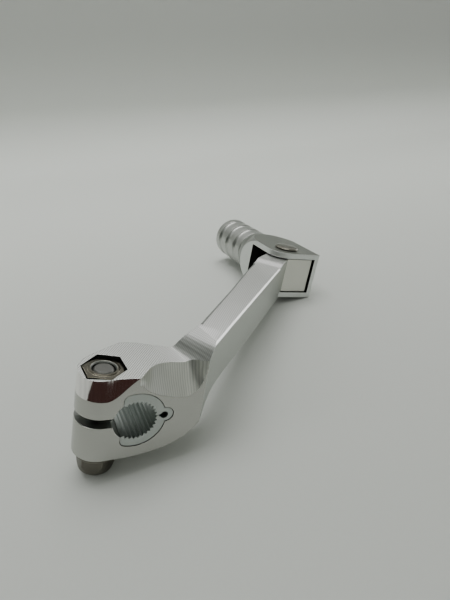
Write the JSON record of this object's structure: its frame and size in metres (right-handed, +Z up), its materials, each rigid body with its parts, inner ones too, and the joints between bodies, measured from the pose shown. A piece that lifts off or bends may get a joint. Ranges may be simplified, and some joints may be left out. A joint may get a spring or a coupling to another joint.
{
  "type": "gear shift lever",
  "caption": "Machined aluminium gear shift lever: split clamp boss with a serrated steel insert, angled arm, and a sprung folding toe peg on a clevis.",
  "frame": {"origin": "middle of the lever's footprint on the floor, at floor height, as it lies at rest", "axes": "+Y along the spline bore from the inboard face of the boss outward, +X toward the toe tip end, +Z up"},
  "size_m": [0.1236, 0.1366, 0.0334],
  "materials": {
    "machined_aluminium": "bright, milled with fine tool lines on the top faces",
    "satin_aluminium": "satin, turned and blasted",
    "insert_steel": "dull grey, cut serrations",
    "bolt_steel": "rough, dull plated",
    "nut_steel": "nickel coloured, slightly worn",
    "pin_steel": "turned, smooth",
    "spring_steel": "dark drawn wire and clip"
  },
  "bodies": {
    "lever": {"lever_arm": "machined_aluminium", "spline_insert": "insert_steel", "pinch_bolt": "bolt_steel", "pinch_nut": "nut_steel", "torsion_spring": "spring_steel"},
    "tip": {"tip_clevis": "satin_aluminium", "toe_peg": "satin_aluminium", "pivot_pin": "pin_steel", "pivot_clip": "spring_steel"}
  },
  "joints": [
    {"name": "tip_fold", "type": "hinge", "parent": "lever", "child": "tip", "pos_m": [0.04676, 0.0097, 0.0132], "axis": [0.2317, 0, 0.9728], "range_deg": [0, 60], "stiffness_Nm_per_rad": 0.12, "springref_deg": -28.65, "deforming": ["torsion_spring"]}
  ]
}
